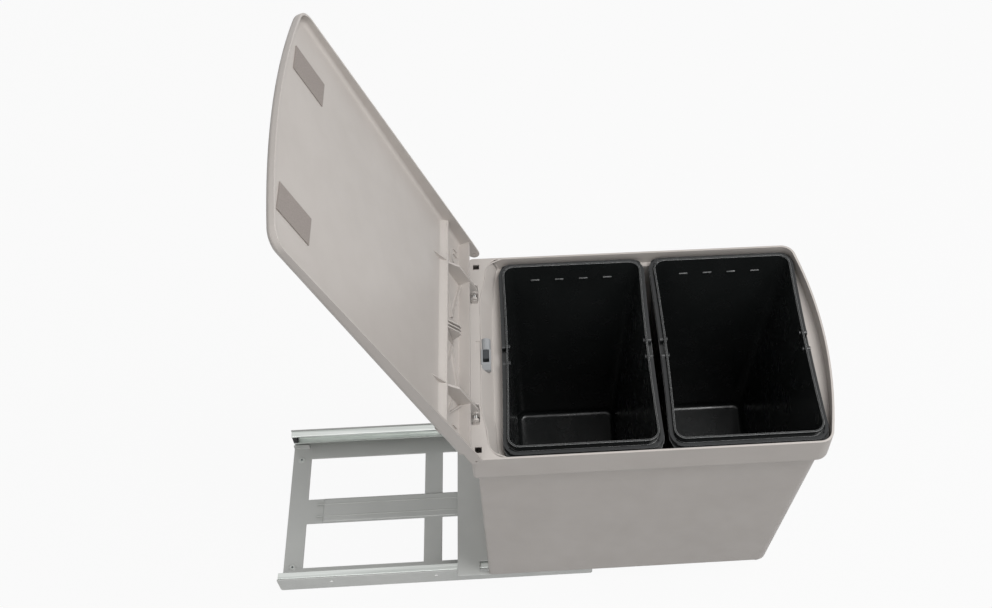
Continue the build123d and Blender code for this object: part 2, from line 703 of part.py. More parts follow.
def lid_point(s, n):
    """World (y, z) of a point of the closed lid: s forwards from the hinge, n up from it."""
    return (hinge_y - s, hinge_z + n)


def lid_face(points):
    return make_face(Polyline(*[lid_point(s, n) for s, n in points], close=True))


def skin_top(s):
    """How high the lid's outer face lies at s; it falls evenly to the front."""
    return LID_SKIN_REAR + lid_slope * s


def skin_under(s):
    """A height inside the lid's skin at s, where walls and ribs end."""
    return skin_top(s) - LID_WALL / 2


def lid_shell():
    """The cap: a bowed plan with rounded upper edges, hollow from below, open at the rear."""
    low, high = hinge_z + LID_EDGE, hinge_z + LID_SKIN_REAR + 1
    beyond = lid_reach + 5

    def cap(inset, floor):
        plan = bowed_plan(lid_half - inset, hinge_y, lid_front + inset, TUB_BOW, LID_CORNER - inset, 2)
        solid = extrude(Pos(0, 0, floor) * plan, high - floor)
        over = lid_face([(-5, skin_top(-5) - inset), (beyond, skin_top(beyond) - inset),
                         (beyond, 2 * LID_SKIN_REAR), (-5, 2 * LID_SKIN_REAR)])
        solid -= across(over, -lid_half - 1, lid_half + 1)
        roof = solid.faces().sort_by(Axis.Z)[-1]
        return fillet(roof.edges(), LID_ROUND - inset)

    shell = cap(0, low) - cap(LID_WALL, low - 1)
    return shell - block(-lid_half - 1, lid_half + 1, hinge_y - LID_REAR, hinge_y + 1, low - 2, high + 1)


def lid_ear():
    """The rounded end of a side wall, which reaches back to the line of the hinge pins."""
    y, z = lid_point(0, 0)
    web = lid_face([(0, EAR_RADIUS), (LID_REAR + 1, skin_top(LID_REAR) - LID_ROUND),
                    (LID_REAR + 1, LID_EDGE), (0, -EAR_RADIUS)])
    profile = web + Pos(y, z) * Circle(EAR_RADIUS) - Pos(y, z) * Circle(EAR_HOLE / 2)
    return across(profile, lid_half - LID_WALL, lid_half)


def wall_two():
    """The rear edge of the lid, turned down over the deck."""
    s1 = LID_REAR + LID_WALL
    profile = lid_face([(LID_REAR, WALL_TWO_EDGE), (s1, WALL_TWO_EDGE), (s1, skin_under(s1)),
                        (LID_REAR, skin_under(LID_REAR))])
    width = lid_half - LID_WALL / 2
    return across(profile, -width, width)


def wall_one():
    """The cross wall that closes the hinge channel; a hollow curve leads from it to the skin."""
    s1 = WALL_ONE + LID_WALL
    s2 = s1 + WALL_ONE_ROUND
    rise = skin_under(s2) - WALL_ONE_EDGE
    curve = ThreePointArc(lid_point(s1, WALL_ONE_EDGE),
                          lid_point(s1 + WALL_ONE_ROUND * 0.3, WALL_ONE_EDGE + rise * 0.6),
                          lid_point(s2, skin_under(s2)))
    rest = Polyline(lid_point(s2, skin_under(s2)), lid_point(WALL_ONE, skin_under(WALL_ONE)),
                    lid_point(WALL_ONE, WALL_ONE_EDGE), lid_point(s1, WALL_ONE_EDGE))
    width = lid_half - LID_WALL / 2
    return across(make_face(Curve() + [curve, rest]), -width, width)


def hinge_arm():
    """One arm: a blade from the skin back to the hub, and a tail that stops the lid in its slot."""
    y0, z0 = lid_point(0, 0)
    hub_radius = HUB_DIAMETER / 2
    blade = lid_face([(ARM_END, skin_under(ARM_END)), (ARM_BEND, ARM_EDGE), (-ARM_EDGE, ARM_EDGE),
                      (-hub_radius * 0.7, -hub_radius * 0.7), (0, hub_radius),
                      (LID_REAR, skin_under(LID_REAR))])
    nose = Pos(y0, z0) * Circle(hub_radius)
    tail_low = ARM_EDGE / 8
    tail = lid_face([(0, tail_low), (-TAIL_LENGTH, tail_low), (-TAIL_LENGTH, tail_low + TAIL_THICKNESS),
                     (0, tail_low + TAIL_THICKNESS)])
    arm = across(blade + nose + tail, ARM_X - ARM_THICKNESS / 2, ARM_X + ARM_THICKNESS / 2)
    arm += rod_x(ARM_X - HUB_WIDTH / 2, ARM_X + HUB_WIDTH / 2, y0, z0, HUB_DIAMETER)
    return arm - rod_x(ARM_X - HUB_WIDTH, ARM_X + HUB_WIDTH, y0, z0, HINGE_PIN + 2 * PIN_PLAY)


def boss_ribs():
    """The ribs of the small boss in the middle of the hinge channel."""
    ribs = Part()
    profile = lid_face([(WALL_ONE + 1, WALL_ONE_EDGE), (WALL_ONE - BOSS_LENGTH, skin_under(WALL_ONE - BOSS_LENGTH)),
                        (WALL_ONE + 1, skin_under(WALL_ONE))])
    for i in range(BOSS_RIBS):
        x = BOSS_X + BOSS_PITCH * (i - (BOSS_RIBS - 1) / 2)
        ribs += across(profile, x - RIB / 2, x + RIB / 2)
    return ribs


def brace_places():
    """Plan lines (s, x) to (s, x) of the low ribs that brace the right half of the hinge channel."""
    low, high = LID_REAR + LID_WALL / 2, WALL_ONE + LID_WALL / 2
    middle = (low + high) / 2
    side = lid_half - LID_CORNER
    return [((middle, LID_CORNER), (high, ARM_X)), ((middle, LID_CORNER), (low, ARM_X)),
            ((low, ARM_X), (high, side)), ((middle, ARM_X + HUB_DIAMETER), (high, lid_half - LID_WALL))]


def braces():
    ribs = Part()
    top = hinge_z + skin_under(WALL_ONE)
    for (s0, x0), (s1, x1) in brace_places():
        strip = thick_line((x0, hinge_y - s0), (x1, hinge_y - s1), RIB)
        ribs += extrude(Pos(0, 0, top - CHANNEL_RIB_DEPTH) * strip, CHANNEL_RIB_DEPTH)
    return ribs


def thick_line(a, b, thickness):
    """A straight strip between two plan points."""
    dx, dy = b[0] - a[0], b[1] - a[1]
    length = (dx * dx + dy * dy) ** 0.5
    ox, oy = -dy / length * thickness / 2, dx / length * thickness / 2
    return make_face(Polyline((a[0] + ox, a[1] + oy), (b[0] + ox, b[1] + oy), (b[0] - ox, b[1] - oy),
                              (a[0] - ox, a[1] - oy), close=True))


def opened(piece):
    """The piece, drawn on the closed lid, turned to the open lid's place."""
    hinge = Axis((0, hinge_y, hinge_z), (1, 0, 0))
    return piece.rotate(hinge, -LID_OPEN)


def lid():
    shell = lid_shell() + wall_two() + wall_one() + boss_ribs()
    for side in SIDES.values():
        for piece in (lid_ear(), hinge_arm(), braces()):
            shell += mirrored(piece, side)
    return opened(shell)


def lid_pads():
    """Two thin pads stuck to the lid's inner face near its front edge."""
    s1 = lid_length - PAD_FRONT
    s0 = s1 - PAD_LENGTH
    high0, high1 = skin_top(s0) - LID_WALL, skin_top(s1) - LID_WALL
    profile = lid_face([(s0, high0), (s1, high1), (s1, high1 - PAD_THICKNESS), (s0, high0 - PAD_THICKNESS)])
    pad = across(profile, PAD_X - PAD_WIDTH / 2, PAD_X + PAD_WIDTH / 2)
    return [opened(mirrored(pad, side)) for side in SIDES.values()]


# ---- lid catch ----

def catch_top():
    return TUB_HEIGHT + CATCH_PROUD


def catch_envelope():
    """The catch's outer form, with a round barrel at one end and a ramp at the other; also its seat."""
    z1 = catch_top()
    x0, x1 = -catch_length / 2, catch_length / 2
    side = make_face(Polyline((x0, z1 - CATCH_RAMP), (x0 + CATCH_RAMP * 0.7, z1), (x1 - CATCH_BARREL, z1),
                              (x1 - CATCH_BARREL, z1 - CATCH_DEPTH), (x0, z1 - CATCH_DEPTH), close=True))
    body = along(side, catch_y - CATCH_WIDTH / 2, catch_y + CATCH_WIDTH / 2)
    return body + rod_x(x1 - CATCH_BARREL - 1, x1, catch_y, z1 - CATCH_WIDTH / 2, CATCH_WIDTH)


def catch_slot_start():
    return -catch_length / 2 + CATCH_RAMP


def catch_housing():
    """A small housing set into the deck's sloped wall, with a slot for its button."""
    x0 = catch_slot_start()
    reach = CATCH_WIDTH / 2 - CATCH_WALL
    slot = block(x0, x0 + catch_slot, catch_y - reach, catch_y + reach, catch_top() - CATCH_HEIGHT,
                 catch_top() + 1)
    return catch_envelope() - slot


def catch_slider():
    """The button that slides in the housing's slot."""
    x1 = catch_slot_start() + catch_slot - RUNNING_GAP
    reach = CATCH_WIDTH / 2 - CATCH_WALL - RUNNING_GAP
    z1 = catch_top()
    body = block(x1 - CATCH_SLIDER, x1, catch_y - reach, catch_y + reach, z1 - CATCH_HEIGHT + RUNNING_GAP,
                 z1 - 1)
    return fillet(body.edges().filter_by(Axis.Z), 1)


# ---- write one file for each node ----

def group(solids):
    return Compound(children=solids) if isinstance(solids, list) else solids


def nodes():
    parts = {
        "base_frame": base_frame(),
        "cabinet_rail_rivets": cabinet_rail_rivets(),
        "carriage_plate": carriage_plate(),
        "carriage_rail_rivets": carriage_rail_rivets(),
        "tub": tub(),
        "tub_screws": tub_screws(),
        "lid": lid(),
        "lid_pads": lid_pads(),
        "catch_housing": catch_housing(),
        "catch_slider": catch_slider(),
        "bin_rear": waste_bin(bin_places[0]),
        "bin_front": waste_bin(bin_places[1]),
    }
    for name, side in SIDES.items():
        parts[f"cabinet_rail_{name}"] = mirrored(cabinet_rail(), side)
        parts[f"ball_cage_{name}"] = mirrored(ball_cage(), side)
        parts[f"cage_balls_{name}"] = [mirrored(ball, side) for ball in cage_balls()]
        parts[f"carriage_rail_{name}"] = mirrored(carriage_rail(), side)
        parts[f"carriage_bracket_{name}"] = mirrored(carriage_bracket(), side)
        parts[f"rail_end_stop_{name}"] = mirrored(end_stop(), side)
        parts[f"hinge_pin_{name}"] = mirrored(hinge_pin(), side)
        parts[f"bin_rear_handle_{name}"] = mirrored(bin_handle(bin_places[0]), side)
        parts[f"bin_front_handle_{name}"] = mirrored(bin_handle(bin_places[1]), side)
    return parts


os.makedirs("parts", exist_ok=True)
for node_name, solid in nodes().items():
    export_step(group(solid), f"parts/{node_name}.step")
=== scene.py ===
"""Looks of the pull-out waste bin unit: finishes, small moulded details, studio and camera."""

import json
import math

import bmesh
import bpy
from mathutils import Matrix, Vector


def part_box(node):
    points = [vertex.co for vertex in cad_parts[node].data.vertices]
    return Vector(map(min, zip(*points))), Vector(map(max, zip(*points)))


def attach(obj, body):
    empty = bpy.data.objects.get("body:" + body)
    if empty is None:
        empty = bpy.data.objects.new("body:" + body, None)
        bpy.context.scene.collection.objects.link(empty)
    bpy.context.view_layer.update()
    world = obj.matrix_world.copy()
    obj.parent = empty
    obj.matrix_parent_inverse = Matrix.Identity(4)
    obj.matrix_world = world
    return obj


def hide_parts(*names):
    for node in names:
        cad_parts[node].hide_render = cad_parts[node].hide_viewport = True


MM = 0.001

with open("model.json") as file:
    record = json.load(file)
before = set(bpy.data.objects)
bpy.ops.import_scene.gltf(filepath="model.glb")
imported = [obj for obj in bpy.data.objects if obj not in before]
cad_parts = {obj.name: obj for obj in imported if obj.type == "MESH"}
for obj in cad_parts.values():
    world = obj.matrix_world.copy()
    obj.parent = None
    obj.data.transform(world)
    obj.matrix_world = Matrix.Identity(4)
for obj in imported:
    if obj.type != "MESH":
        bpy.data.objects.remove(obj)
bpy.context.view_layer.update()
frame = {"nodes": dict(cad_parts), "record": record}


# ---- finishes ----

def srgb(red, green, blue):
    """A colour given as screen values from 0 to 255, as the shader's linear values."""
    def linear(value):
        value /= 255
        return value / 12.92 if value <= 0.04045 else ((value + 0.055) / 1.055) ** 2.4
    return (linear(red), linear(green), linear(blue), 1)


EDGE_SAMPLES = 10
# Dot products of shading and true normal at which the painted edge highlight is full and at which it
# is gone.
EDGE_TURNED, EDGE_FLAT = 0.75, 0.93


class Finish:
    """A material under construction: its nodes, and the few links that every finish needs."""

    def __init__(self, name):
        self.material = bpy.data.materials.new(name)
        self.material.use_nodes = True
        self.nodes = self.material.node_tree.nodes
        self.links = self.material.node_tree.links
        self.shader = self.nodes["Principled BSDF"]
        self.place = self.nodes.new("ShaderNodeTexCoord").outputs["Object"]
        self.normal = None

    def soft_edges(self, radius):
        """Edges that catch the light as if they were rounded to this radius, in metres."""
        node = self.nodes.new("ShaderNodeBevel")
        node.samples = EDGE_SAMPLES
        node.inputs["Radius"].default_value = radius
        self.links.new(node.outputs["Normal"], self.shader.inputs["Normal"])
        self.normal = node.outputs["Normal"]

    def stretched(self, scale):
        """The object's coordinates, scaled separately along X, Y and Z."""
        node = self.nodes.new("ShaderNodeMapping")
        node.inputs["Scale"].default_value = scale
        self.links.new(self.place, node.inputs["Vector"])
        return node.outputs["Vector"]

    def noise(self, scale, detail=3, roughness=0.5, place=None):
        """A noise texture's value, on the object's own coordinates."""
        node = self.nodes.new("ShaderNodeTexNoise")
        node.inputs["Scale"].default_value = scale
        node.inputs["Detail"].default_value = detail
        node.inputs["Roughness"].default_value = roughness
        self.links.new(place or self.place, node.inputs["Vector"])
        return node.outputs["Fac"]

    def spread(self, value, low, high, start=0.3, end=0.7):
        """A texture's value, spread from low to high."""
        node = self.nodes.new("ShaderNodeMapRange")
        node.inputs["From Min"].default_value = start
        node.inputs["From Max"].default_value = end
        node.inputs["To Min"].default_value = low
        node.inputs["To Max"].default_value = high
        self.links.new(value, node.inputs["Value"])
        return node.outputs["Result"]

    def tint(self, value, dark, light):
        """A colour that runs from dark to light with a texture's value."""
        node = self.nodes.new("ShaderNodeMix")
        node.data_type = "RGBA"
        node.inputs["A"].default_value = dark
        node.inputs["B"].default_value = light
        self.links.new(value, node.inputs["Factor"])
        self.links.new(node.outputs["Result"], self.shader.inputs["Base Color"])

    def rough(self, value):
        """Roughness that follows a texture's value."""
        self.links.new(value, self.shader.inputs["Roughness"])

    def paint_edge_highlights(self, colour):
        """Painted highlights: thin bright lines mixed into the base colour where a soft edge turns,
        standing in for the light caught on the lip of a moulding.
        """
        flat = self.nodes.new("ShaderNodeNewGeometry").outputs["True Normal"]
        turn = self.nodes.new("ShaderNodeVectorMath")
        turn.operation = "DOT_PRODUCT"
        self.links.new(self.normal, turn.inputs[0])
        self.links.new(flat, turn.inputs[1])
        amount = self.spread(turn.outputs["Value"], 1, 0, EDGE_TURNED, EDGE_FLAT)
        node = self.nodes.new("ShaderNodeMix")
        node.data_type = "RGBA"
        node.inputs["B"].default_value = colour
        self.links.new(self.shader.inputs["Base Color"].links[0].from_socket, node.inputs["A"])
        self.links.new(amount, node.inputs["Factor"])
        self.links.new(node.outputs["Result"], self.shader.inputs["Base Color"])

    def relief(self, value, height):
        """Bump from a texture's value, height in metres, on top of any relief before it."""
        node = self.nodes.new("ShaderNodeBump")
        node.inputs["Strength"].default_value = 1.0
        node.inputs["Distance"].default_value = height
        self.links.new(value, node.inputs["Height"])
        if self.normal:
            self.links.new(self.normal, node.inputs["Normal"])
        self.links.new(node.outputs["Normal"], self.shader.inputs["Normal"])
        self.normal = node.outputs["Normal"]


CLOUD_SCALE, WIPE_SCALE, SINK_SCALE = 9, 38, 14


def moulded_plastic(name, dark, light, roughness, grain, grain_height, specular=0.4, edge=0.8 * MM,
                    sink=0.25 * MM, painted_highlight=None):
    """Injection-moulded plastic with an eroded grain, faint flow clouds and soft sink marks, and
    painted highlights on its turned edges when a highlight colour is given.
    """
    finish = Finish(name)
    finish.soft_edges(edge)
    clouds = finish.noise(CLOUD_SCALE, detail=4, roughness=0.6)
    finish.tint(finish.spread(clouds, 0, 1), dark, light)
    wiped = finish.noise(WIPE_SCALE, detail=2)
    finish.rough(finish.spread(wiped, roughness - 0.05, roughness + 0.06))
    # A painted highlight along the turned edges, in the given colour.
    if painted_highlight:
        finish.paint_edge_highlights(painted_highlight)
    finish.relief(finish.noise(SINK_SCALE, detail=1), sink)
    finish.relief(finish.noise(grain, detail=2, roughness=0.6), grain_height)
    finish.shader.inputs["Specular IOR Level"].default_value = specular
    return finish.material


def coated_steel():
    """Sheet steel with a pale grey powder coat and its orange-peel skin."""
    finish = Finish("coated_steel")
    finish.soft_edges(1.2 * MM)
    shades, handled = finish.noise(6, detail=5), finish.noise(60)
    peel, dust = finish.noise(420, detail=1), finish.noise(2200, detail=2)
    finish.tint(finish.spread(shades, 0, 1), srgb(196, 198, 195), srgb(208, 209, 206))
    finish.rough(finish.spread(handled, 0.36, 0.5))
    finish.relief(peel, 0.03 * MM)
    finish.relief(dust, 0.01 * MM)
    finish.shader.inputs["Metallic"].default_value = 0.15
    return finish.material


def rolled_zinc():
    """Bright zinc-plated rail steel, with fine lines drawn along its length."""
    finish = Finish("rolled_zinc")
    finish.soft_edges(0.8 * MM)
    lines = finish.noise(220, detail=4, place=finish.stretched((1, 0.02, 1)))
    smears = finish.noise(45, place=finish.stretched((1, 0.1, 1)))
    finish.tint(finish.spread(lines, 0, 1), srgb(186, 191, 187), srgb(228, 231, 228))
    finish.rough(finish.spread(smears, 0.28, 0.42))
    finish.relief(lines, 0.02 * MM)
    finish.shader.inputs["Metallic"].default_value = 1.0
    return finish.material


MARK_DARKNESS = 0.82


def bright_steel(name, colour, roughness):
    """Turned or stamped bright steel with faint handling marks."""
    finish = Finish(name)
    marks = finish.noise(300, detail=5)
    marked = tuple(MARK_DARKNESS * part for part in colour[:3]) + (1,)
    finish.tint(finish.spread(marks, 0, 1), marked, colour)
    finish.rough(finish.spread(marks, roughness - 0.06, roughness + 0.1))
    finish.relief(finish.noise(900), 0.015 * MM)
    finish.shader.inputs["Metallic"].default_value = 1.0
    return finish.material


def foam_pad():
    """Soft grey foam with open pores."""
    finish = Finish("foam_pad")
    pores = finish.noise(1500, detail=3, roughness=0.7)
    finish.tint(finish.spread(pores, 0, 1), srgb(138, 131, 127), srgb(164, 156, 151))
    finish.rough(finish.spread(pores, 0.8, 0.95))
    finish.relief(pores, 0.2 * MM)
    finish.shader.inputs["Specular IOR Level"].default_value = 0.15
    return finish.material


FINISHES = {
    "tub_plastic": moulded_plastic("tub_plastic", srgb(183, 177, 172), srgb(190, 184, 179), 0.42,
                                   grain=1400, grain_height=0.05 * MM),
    "painted_steel": coated_steel(),
    "zinc_rail": rolled_zinc(),
    "cage_steel": bright_steel("cage_steel", srgb(190, 194, 190), 0.35),
    "bright_steel": bright_steel("bright_steel", srgb(226, 226, 224), 0.2),
    "pad_grey": foam_pad(),
    "catch_grey": moulded_plastic("catch_grey", srgb(142, 144, 146), srgb(156, 158, 160), 0.34,
                                  grain=1600, grain_height=0.03 * MM),
    "catch_dark": moulded_plastic("catch_dark", srgb(50, 53, 56), srgb(60, 63, 66), 0.45,
                                  grain=1600, grain_height=0.03 * MM),
    # The bins get a bright painted highlight along their lips' edges.
    "bin_plastic": moulded_plastic("bin_plastic", srgb(26, 28, 28), srgb(32, 34, 34), 0.24,
                                   grain=1100, grain_height=0.02 * MM, specular=0.5,
                                   edge=0.7 * MM, sink=0.08 * MM, painted_highlight=srgb(215, 216, 216)),
    # The handles get a dimmer painted highlight along their edges.
    "handle_plastic": moulded_plastic("handle_plastic", srgb(20, 22, 23), srgb(27, 29, 30), 0.24,
                                      grain=1300, grain_height=0.02 * MM, specular=0.5,
                                      edge=0.5 * MM, sink=0.05 * MM, painted_highlight=srgb(84, 86, 87)),
    "buffer_plastic": moulded_plastic("buffer_plastic", srgb(40, 40, 41), srgb(52, 52, 53), 0.55,
                                      grain=1200, grain_height=0.06 * MM),
}


def dress_frame():
    """Gives every CAD node the finish of its material slot."""
    for row in frame["record"]["subparts"]:
        mesh = frame["nodes"][row["node"]].data
        mesh.materials.clear()
        mesh.materials.append(FINISHES[row["material_slot"]])


# ---- smooth shells, each made from the CAD node that it stands for ----

BEHAVIOUR = frame["record"]["behaviour"]
BODY_OF = {node: body for body, nodes in BEHAVIOUR["bodies"].items() for node in nodes}
SLOT_OF = {row["node"]: row["material_slot"] for row in frame["record"]["subparts"]}
WELD = 0.002 * MM
CORNER = math.radians(32)


def welded(node):
    """The node's mesh with its loose triangles joined."""
    bed = bmesh.new()
    bed.from_mesh(frame["nodes"][node].data)
    bmesh.ops.remove_doubles(bed, verts=bed.verts, dist=WELD)
    return bed


def to_piece(bed, name, slot):
    """A finished bmesh as a named piece of the scene, in the finish of its slot."""
    mesh = bpy.data.meshes.new(name)
    bed.to_mesh(mesh)
    bed.free()
    mesh.materials.append(FINISHES[slot])
    piece = bpy.data.objects.new(name, mesh)
    bpy.context.scene.collection.objects.link(piece)
    return piece


def smooth_faces(piece):
    """Smooth faces between the sharp edges, where large flat faces keep their own direction."""
    mesh = piece.data
    mesh.shade_smooth()
    mesh.set_sharp_from_angle(angle=CORNER)
    around = [[] for _ in mesh.vertices]
    for face in mesh.polygons:
        for vert in face.vertices:
            around[vert].append(face)
    limit = math.cos(CORNER)
    normals = []
    for face in mesh.polygons:
        for vert in face.vertices:
            near = (other.normal * other.area for other in around[vert]
                    if other.normal.dot(face.normal) > limit)
            normals.append(sum(near, Vector()).normalized())
    mesh.normals_split_custom_set(normals)


def round_edges(piece, width):
    """Small rounded edges on a simple piece, with smooth faces between them."""
    smooth_faces(piece)
    edge = piece.modifiers.new("edge", "BEVEL")
    edge.width = width
    edge.segments = 2
    edge.limit_method = "ANGLE"
    edge.angle_limit = CORNER
    edge.harden_normals = True


def take_over(node, bed):
    """Puts a reworked copy of a node's mesh in the node's place, on the same body."""
    piece = to_piece(bed, node + "_moulded", SLOT_OF[node])
    smooth_faces(piece)
    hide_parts(node)
    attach(piece, BODY_OF[node])


def share(value, low, high):
    """How far a value has gone from low to high, from 0 to 1."""
    return min(max((value - low) / (high - low), 0), 1)


# ---- lid ----

HINGE = next(joint for joint in BEHAVIOUR["joints"] if joint["name"] == "lid_hinge")
PIVOT_Y, PIVOT_Z = HINGE["pos_m"][1:]
LID_TURN = math.radians(-HINGE["range_deg"][0])
LID_STRETCH = 6 * MM
STRETCH_START = 90 * MM
STRETCH_END = 420 * MM
PAD_SHIFT = 15 * MM


def on_lid(y, z):
    """World (y, z) as (s, n): s forward from the hinge along the closed lid, n up from it."""
    back, up = y - PIVOT_Y, z - PIVOT_Z
    return (up * math.sin(LID_TURN) - back * math.cos(LID_TURN),
            back * math.sin(LID_TURN) + up * math.cos(LID_TURN))


def off_lid(s, n):
    """Back from (s, n) along the lid to world (y, z)."""
    return (PIVOT_Y - s * math.cos(LID_TURN) + n * math.sin(LID_TURN),
            PIVOT_Z + s * math.sin(LID_TURN) + n * math.cos(LID_TURN))


def slide_on_lid(bed, shift):
    """Moves a mesh along the lid, by shift(s) at each point."""
    for vert in bed.verts:
        s, n = on_lid(vert.co.y, vert.co.z)
        vert.co.y, vert.co.z = off_lid(s + shift(s), n)


def lid_stretch(s):
    """How much longer the lid is at s, nothing at its hinge channel and most at its front."""
    return LID_STRETCH * share(s, STRETCH_START, STRETCH_END)


def moulded_lid():
    """The lid, reaching a little further forward, and its two pads near the front edge."""
    bed = welded("lid")
    slide_on_lid(bed, lid_stretch)
    take_over("lid", bed)
    pads = welded("lid_pads")
    slide_on_lid(pads, lambda s: lid_stretch(s) + PAD_SHIFT)
    take_over("lid_pads", pads)


ARM_X = 91 * MM
RIB_THICKNESS = 1.6 * MM
RIB_EDGE = 0.3 * MM
GUSSET = [(74, 1.8), (101, 9.4), (101, 10.6), (74, 10.6)]
LATCH_RIB = [(73.5, 1.7), (57, -5.6), (51, -5.6), (44, 10.5), (73.5, 10.5)]
LATCH_RIB_X = (0, -5 * MM, -10 * MM)
END_RIB = [(33, 8.6), (43, 8.6), (43, 11.5), (33, 11.5)]
END_RIB_X = (128 * MM, 136 * MM)


def lid_plate(bed, x, outline):
    """A thin rib that stands along the lid at x, with an outline of (s, n) points in millimetres."""
    near_x = x - RIB_THICKNESS / 2
    corners = [bed.verts.new((near_x, *off_lid(s * MM, n * MM))) for s, n in outline]
    face = bed.faces.new(corners)
    grown = bmesh.ops.extrude_face_region(bed, geom=[face])
    moved = [item for item in grown["geom"] if isinstance(item, bmesh.types.BMVert)]
    bmesh.ops.translate(bed, verts=moved, vec=(RIB_THICKNESS, 0, 0))


def lid_ribs():
    """The thin ribs round the hinge channel: gussets in line with the arms, latch ribs, end ribs."""
    bed = bmesh.new()
    for x in LATCH_RIB_X:
        lid_plate(bed, x, LATCH_RIB)
    for side in (-1, 1):
        lid_plate(bed, side * ARM_X, GUSSET)
        for x in END_RIB_X:
            lid_plate(bed, side * x, END_RIB)
    bmesh.ops.recalc_face_normals(bed, faces=bed.faces)
    piece = to_piece(bed, "lid_channel_ribs", "tub_plastic")
    round_edges(piece, RIB_EDGE)
    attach(piece, "lid")


# ---- bins and handles ----

LIP_SHIFT = 4.5 * MM
FLOOR_SHIFT = 6.5 * MM
HANDLE_SHIFT = 2.5 * MM
FLANGE_EDGE = 3 * MM
LIP_INSET = 10 * MM
BAR_INSET = 11 * MM
SIDE_FADE = 60 * MM


def across_bin(bin_node):
    """The middle of a bin along Y, and half its width there."""
    low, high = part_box(bin_node)
    return (low[1] + high[1]) / 2, (high[1] - low[1]) / 2


def moulded_bin(node):
    """A bin with its lip close to the flange's front and rear edges, as the handles leave room for."""
    low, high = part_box(node)
    middle, half = across_bin(node)
    bed = welded(node)
    for vert in bed.verts:
        across = vert.co.y - middle
        inset = half - abs(across)
        depth = share(high[2] - vert.co.z, 0, high[2] - low[2])
        shift = LIP_SHIFT + (FLOOR_SHIFT - LIP_SHIFT) * depth
        shift *= share(inset, FLANGE_EDGE, LIP_INSET) * share(abs(across), 0, SIDE_FADE)
        vert.co.y += math.copysign(shift, across)
    take_over(node, bed)


def moulded_handle(node, bin_node):
    """A handle half, with its bar and pins further out, as the lip is."""
    middle, half = across_bin(bin_node)
    bed = welded(node)
    for vert in bed.verts:
        across = vert.co.y - middle
        shift = HANDLE_SHIFT if half - abs(across) < BAR_INSET else LIP_SHIFT
        vert.co.y += math.copysign(shift, across)
    take_over(node, bed)


# ---- frame and deck details ----

SPINE_HALF = 25 * MM
RIDGE_X = 10 * MM
RIDGE_RADIUS = 1.0 * MM
RIDGE_SINK = 0.35 * MM
RIDGE_END = 42 * MM
SCREW_X = 90 * MM
SCREW_INSET = 13 * MM
HEAD_RADIUS = 4.0 * MM
HEAD_TOP_RADIUS = 2.8 * MM
HEAD_MIDDLE = 2.2 * MM
HEAD_HEIGHT = 2.4 * MM
# A dark disc on each screw head is painted shade, standing in for the shaded socket recess.
SOCKET_SHADE_RADIUS = 1.5 * MM
SOCKET_SHADE_RISE = 0.1 * MM
PEG_SIDES = 28
DECK_EDGE = [(150.5, -118), (140.2, -101.4), (111.4, -95.4), (84, -90), (40, -90), (0, -90)]
DECK_EDGE_Z = 399.6 * MM
DECK_EDGE_RADIUS = 0.9 * MM


def peg(bed, place, radius, top_radius, height, turn=Matrix()):
    """A round peg whose middle is at place, standing along Z unless it's turned."""
    bmesh.ops.create_cone(bed, cap_ends=True, segments=PEG_SIDES, radius1=radius, radius2=top_radius,
                          depth=height, matrix=Matrix.Translation(place) @ turn)


def on_frame(bed, name, slot):
    """A round-sided piece that stays with the base frame."""
    piece = to_piece(bed, name, slot)
    smooth_faces(piece)
    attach(piece, BODY_OF["base_frame"])


def frame_details():
    """Two pressed ridges on the spine, and the four screws that hold the frame down, each with a dark
    disc on its head as painted shade for its socket.
    """
    low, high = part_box("base_frame")
    spine_top = max(vert.co.z for vert in frame["nodes"]["base_frame"].data.vertices
                    if abs(vert.co.x) < SPINE_HALF)
    along = Matrix.Rotation(math.radians(90), 4, "X")
    middle, length = (low[1] + high[1]) / 2, high[1] - low[1] - 2 * RIDGE_END
    ridges, heads, socket_shades = bmesh.new(), bmesh.new(), bmesh.new()
    for side in (-1, 1):
        peg(ridges, (side * RIDGE_X, middle, spine_top - RIDGE_SINK), RIDGE_RADIUS, RIDGE_RADIUS,
            length, along)
        for y in (low[1] + SCREW_INSET, high[1] - SCREW_INSET):
            peg(heads, (side * SCREW_X, y, HEAD_MIDDLE), HEAD_RADIUS, HEAD_TOP_RADIUS, HEAD_HEIGHT)
            peg(socket_shades, (side * SCREW_X, y, HEAD_MIDDLE + SOCKET_SHADE_RISE), SOCKET_SHADE_RADIUS, SOCKET_SHADE_RADIUS,
                HEAD_HEIGHT)
    on_frame(ridges, "spine_ridges", "painted_steel")
    on_frame(heads, "floor_screw_heads", "cage_steel")
    # Dark discs of dark plastic as painted shade in the screws' sockets.
    on_frame(socket_shades, "floor_screw_socket_shades", "catch_dark")


def deck_edge():
    """The rounded edge where the deck ends and the slope towards the bins starts."""
    half = [(x * MM, y * MM, DECK_EDGE_Z) for x, y in DECK_EDGE]
    points = half + [(-x, y, z) for x, y, z in reversed(half[:-1])]
    line = bpy.data.curves.new("deck_edge", "CURVE")
    line.dimensions = "3D"
    line.bevel_depth = DECK_EDGE_RADIUS
    line.bevel_resolution = 3
    line.use_fill_caps = True
    spline = line.splines.new("BEZIER")
    spline.bezier_points.add(len(points) - 1)
    for knot, place in zip(spline.bezier_points, points):
        knot.co = place
        knot.handle_left_type = knot.handle_right_type = "AUTO"
    line.materials.append(FINISHES["tub_plastic"])
    piece = bpy.data.objects.new("deck_edge", line)
    bpy.context.scene.collection.objects.link(piece)
    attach(piece, BODY_OF["tub"])


# ---- studio ----

